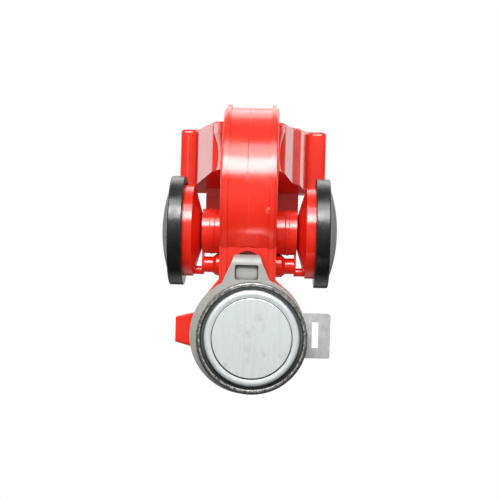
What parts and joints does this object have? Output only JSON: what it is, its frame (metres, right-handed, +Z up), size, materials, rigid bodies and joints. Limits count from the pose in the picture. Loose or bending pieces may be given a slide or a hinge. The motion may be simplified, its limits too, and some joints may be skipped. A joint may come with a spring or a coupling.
{
  "type": "car horn",
  "caption": "Compact compressor air horn: snail drum with flared mouths, a domed diaphragm housing on each side and a round motor below.",
  "frame": {"origin": "centre of the slot in the mounting lug, on the lug's front face", "axes": "+Z up, +Y from the motor end towards the trumpet mouths, +X to the right seen from the motor end"},
  "size_m": [0.0964, 0.1333, 0.1533],
  "materials": {
    "black_plastic": "satin black",
    "brass": "plain",
    "carbon": "pressed carbon",
    "cast_alloy": "die cast, tumbled",
    "copper": "enamelled wire",
    "ferrite": "fired",
    "foam": "open cell",
    "gasket_rubber": "plain",
    "grey_cover": "satin grey",
    "nylon": "plain",
    "red_plastic": "moulded gloss",
    "sintered_bronze": "porous",
    "spring_steel": "polished",
    "zinc_steel": "bright zinc plate"
  },
  "bodies": {
    "horn": {"bracket_plate": "zinc_steel", "brush_holder": "nylon", "brush_left": "carbon", "brush_right": "carbon", "brush_spring_left": "spring_steel", "brush_spring_right": "spring_steel", "clamp_ring_left": "black_plastic", "clamp_ring_right": "black_plastic", "compressor_housing": "red_plastic", "diaphragm_housing_left": "red_plastic", "diaphragm_housing_right": "red_plastic", "diaphragm_left": "spring_steel", "diaphragm_right": "spring_steel", "end_cover_left": "grey_cover", "end_cover_right": "grey_cover", "front_bush": "sintered_bronze", "horn_half_left": "red_plastic", "horn_half_right": "red_plastic", "housing_screws": "zinc_steel", "intake_filter": "foam", "magnet_left": "ferrite", "magnet_right": "ferrite", "motor_can": "zinc_steel", "motor_end_plate": "zinc_steel", "pump_body": "cast_alloy", "pump_cover": "zinc_steel", "pump_cover_screws": "zinc_steel", "pump_gasket": "gasket_rubber", "rear_bush": "sintered_bronze", "side_cover_left": "red_plastic", "side_cover_right": "red_plastic", "terminal_left": "brass", "terminal_right": "brass"},
    "rotor": {"motor_shaft": "spring_steel", "armature_core": "spring_steel", "armature_windings": "copper", "commutator": "copper", "pump_rotor": "nylon", "pump_vane_1": "carbon", "pump_vane_2": "carbon", "pump_vane_3": "carbon", "pump_vane_4": "carbon"}
  },
  "joints": [
    {"name": "rotor_spin", "type": "hinge", "parent": "horn", "child": "rotor", "pos_m": [0.0037, 0, -0.0319], "axis": [0, 1, 0], "continuous": true}
  ]
}
